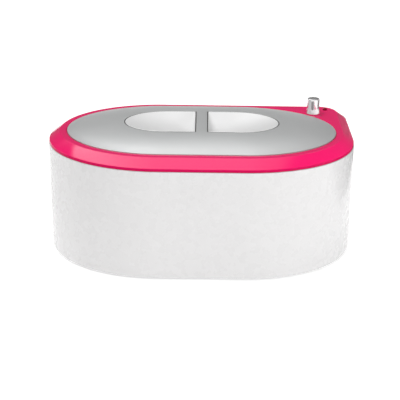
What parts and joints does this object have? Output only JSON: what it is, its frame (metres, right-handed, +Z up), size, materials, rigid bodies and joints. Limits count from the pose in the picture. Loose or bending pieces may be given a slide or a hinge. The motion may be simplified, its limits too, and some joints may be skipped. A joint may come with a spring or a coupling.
{
  "type": "wax warmer pot",
  "caption": "Oval electric wax warmer with a white housing, glossy pink bezel, lift-off silver lid with finger scoops, turning knob and heated inner tank.",
  "frame": {"origin": "middle of the pot's plan, on the plane the feet rest on", "axes": "+Z up, -Y towards the user at the front, +X to the side with the knob"},
  "size_m": [0.37, 0.24, 0.1676],
  "materials": {
    "housing_white": "moulded, glossy",
    "bezel_pink": "moulded, high gloss",
    "lid_silver": "metallic satin paint on moulded plastic",
    "tank_aluminium": "drawn, satin",
    "base_grey": "moulded",
    "foot_rubber": "matt",
    "zinc_steel": "zinc plated",
    "seal_silicone": "silicone rubber",
    "heater_mica": "mica laminate",
    "glass_fibre": "needled blanket",
    "brass_parts": "plain",
    "black_plastic": "moulded",
    "block_grey": "moulded",
    "lens_red": "clear red lens",
    "knob_chrome": "bright plated",
    "lead_brown": "sleeved wire",
    "lead_blue": "sleeved wire",
    "lead_green": "sleeved wire"
  },
  "bodies": {
    "pot": {"outer_housing": "housing_white", "base_plate": "base_grey", "foot_front_left": "foot_rubber", "foot_front_right": "foot_rubber", "foot_rear_left": "foot_rubber", "foot_rear_right": "foot_rubber", "base_screw_1": "zinc_steel", "base_screw_2": "zinc_steel", "base_screw_3": "zinc_steel", "base_screw_4": "zinc_steel", "top_bezel": "bezel_pink", "bezel_screw_1": "zinc_steel", "bezel_screw_2": "zinc_steel", "bezel_screw_3": "zinc_steel", "bezel_screw_4": "zinc_steel", "inner_tank": "tank_aluminium", "tank_seal": "seal_silicone", "tank_screw_1": "zinc_steel", "tank_screw_2": "zinc_steel", "tank_screw_3": "zinc_steel", "tank_screw_4": "zinc_steel", "heater_pad": "heater_mica", "pressure_plate": "zinc_steel", "heater_nut_1": "zinc_steel", "heater_nut_2": "zinc_steel", "heater_nut_3": "zinc_steel", "insulation_wrap": "glass_fibre", "thermal_fuse": "brass_parts", "fuse_clip": "zinc_steel", "earth_tag": "brass_parts", "sensor_bulb": "brass_parts", "capillary_tube": "brass_parts", "thermostat_body": "black_plastic", "thermostat_nut": "zinc_steel", "lamp_lens": "lens_red", "lamp_body": "black_plastic", "power_inlet": "black_plastic", "inlet_pin_neutral": "brass_parts", "inlet_pin_earth": "brass_parts", "inlet_pin_live": "brass_parts", "inlet_screw_1": "zinc_steel", "inlet_screw_2": "zinc_steel", "terminal_block": "block_grey", "lead_live_in": "lead_brown", "lead_neutral_in": "lead_blue", "lead_earth": "lead_green", "lead_live_out": "lead_brown", "lead_heater_live": "lead_brown", "lead_heater_neutral": "lead_blue", "lead_lamp_neutral": "lead_blue", "lead_lamp_live": "lead_brown"},
    "knob": {"knob_cap": "knob_chrome", "knob_pointer": "black_plastic", "knob_shaft": "zinc_steel"},
    "lid": {"lid_shell": "lid_silver"}
  },
  "joints": [
    {"name": "lid_lift", "type": "slide", "parent": "pot", "child": "lid", "axis": [0, 0, 1], "range_m": [0, 0.12]},
    {"name": "knob_turn", "type": "hinge", "parent": "pot", "child": "knob", "pos_m": [0.14097, 0.07516, 0.148], "axis": [0, 0, 1], "range_deg": [-270, 0]}
  ]
}
